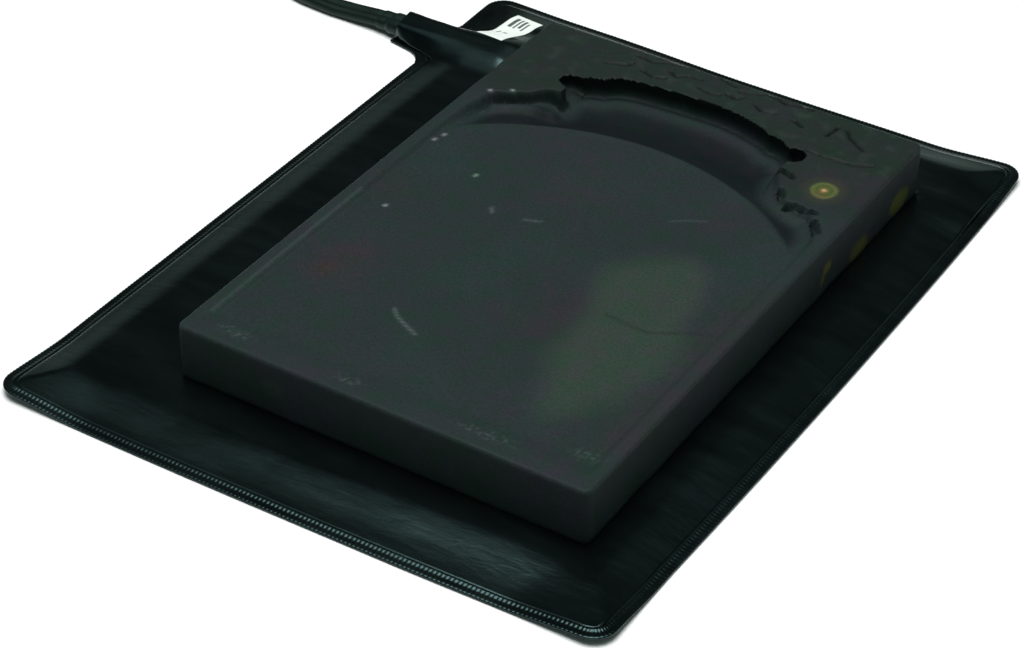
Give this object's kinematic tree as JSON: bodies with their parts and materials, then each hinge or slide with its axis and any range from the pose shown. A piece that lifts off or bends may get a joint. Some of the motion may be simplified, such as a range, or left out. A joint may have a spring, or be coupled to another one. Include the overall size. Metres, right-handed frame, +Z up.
{
  "type": "inkstone on warming pad",
  "caption": "Rectangular carved inkstone with a crescent ink pond, resting on a flat welded vinyl warming pad with a flat cord and plug.",
  "frame": {"origin": "middle of the pad's underside, on the table", "axes": "+X to the user's right across the pad, +Y to the back where the ink pond is, +Z up"},
  "size_m": [0.2728, 0.322, 0.0194],
  "materials": {
    "vinyl": "glossy black vinyl sheet",
    "felt": "matt needled felt",
    "wire": "satin silicone insulation",
    "foil": "bright foil",
    "cutout": "matt moulded case",
    "brass": "satin brass",
    "cord": "satin black flexible insulation",
    "tie": "matt band",
    "plug": "fine-textured black moulding",
    "label": "white coated paper",
    "stone": "fine honed slate-like stone"
  },
  "bodies": {
    "pad": {"bottom_skin": "vinyl", "lower_felt": "felt", "wire_felt": "felt", "heating_wire": "wire", "heat_spreader": "foil", "top_skin": "vinyl", "thermal_cutout": "cutout", "splice_crimps": "brass", "splice_sleeves": "cord", "neutral_lead": "wire", "live_lead": "wire", "cutout_lead": "wire", "paper_label": "label", "cord_sleeve": "cord", "cord_lead": "cord", "cord_coil": "cord", "coil_tie": "tie", "cord_tail": "cord", "plug_body": "plug", "plug_blades": "brass"},
    "stone": {"inkstone": "stone"}
  },
  "joints": [
    {"name": "stone_lift", "type": "slide", "parent": "pad", "child": "stone", "axis": [0, 0, 1], "range_m": [0, 0.08]}
  ]
}
